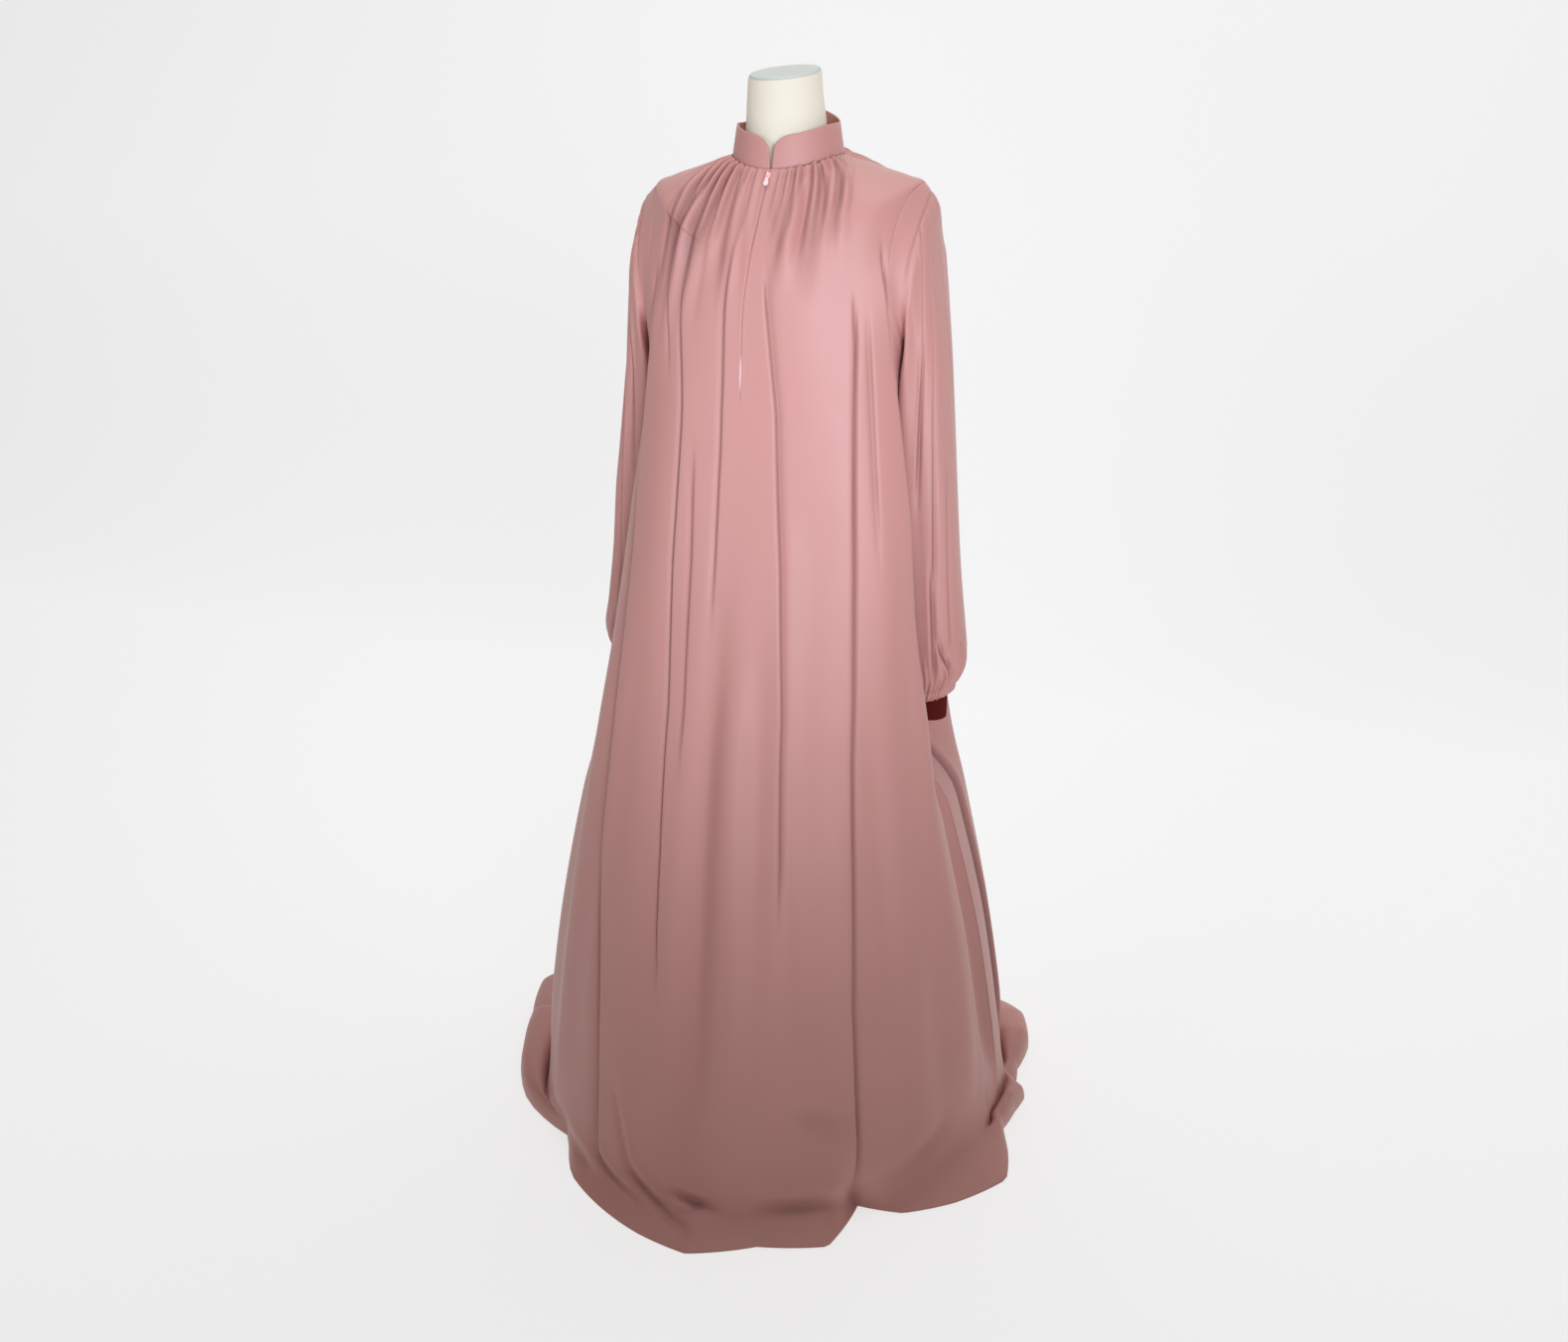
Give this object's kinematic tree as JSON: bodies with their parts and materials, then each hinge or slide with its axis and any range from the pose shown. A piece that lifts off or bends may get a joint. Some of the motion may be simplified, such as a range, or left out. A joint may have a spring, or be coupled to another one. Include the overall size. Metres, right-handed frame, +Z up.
{
  "type": "abaya on a dress form",
  "caption": "Long pink abaya with a gathered neck, stand collar, short front zip and full cuffed sleeves, hanging on a limbless dress form.",
  "frame": {"origin": "centre of the underside of the dress form's base, on the floor", "axes": "+Z up along the form's pole, -Y towards the front of the garment, +X towards the wearer's left"},
  "size_m": [0.8737, 0.8854, 1.5301],
  "materials": {
    "cloth": "dusty pink satin crepe with a soft sheen",
    "cuff": "dark maroon rib knit",
    "zip": "pale pink woven zip tape and fine coil",
    "pull": "pink enamelled slider and pull tab",
    "jersey": "cream jersey pulled over the form",
    "cap": "grey felt on the neck's cut top",
    "steel": "satin steel pole and base"
  },
  "bodies": {
    "gown": {"front": "cloth", "back": "cloth", "collar": "cloth", "sleeve_left": "cloth", "sleeve_right": "cloth", "cuff_left": "cuff", "cuff_right": "cuff", "zip_tape": "zip", "zip_slider": "pull", "form_torso": "jersey", "form_neck_cap": "cap", "form_pole": "steel", "form_base": "steel"},
    "pull_tab": {"zip_pull": "pull"}
  },
  "joints": [
    {"name": "pull_tab_swing", "type": "hinge", "parent": "gown", "child": "pull_tab", "pos_m": [0.00173, -0.07341, 1.3929], "axis": [-1, 0, 0], "range_deg": [0, 150]}
  ]
}
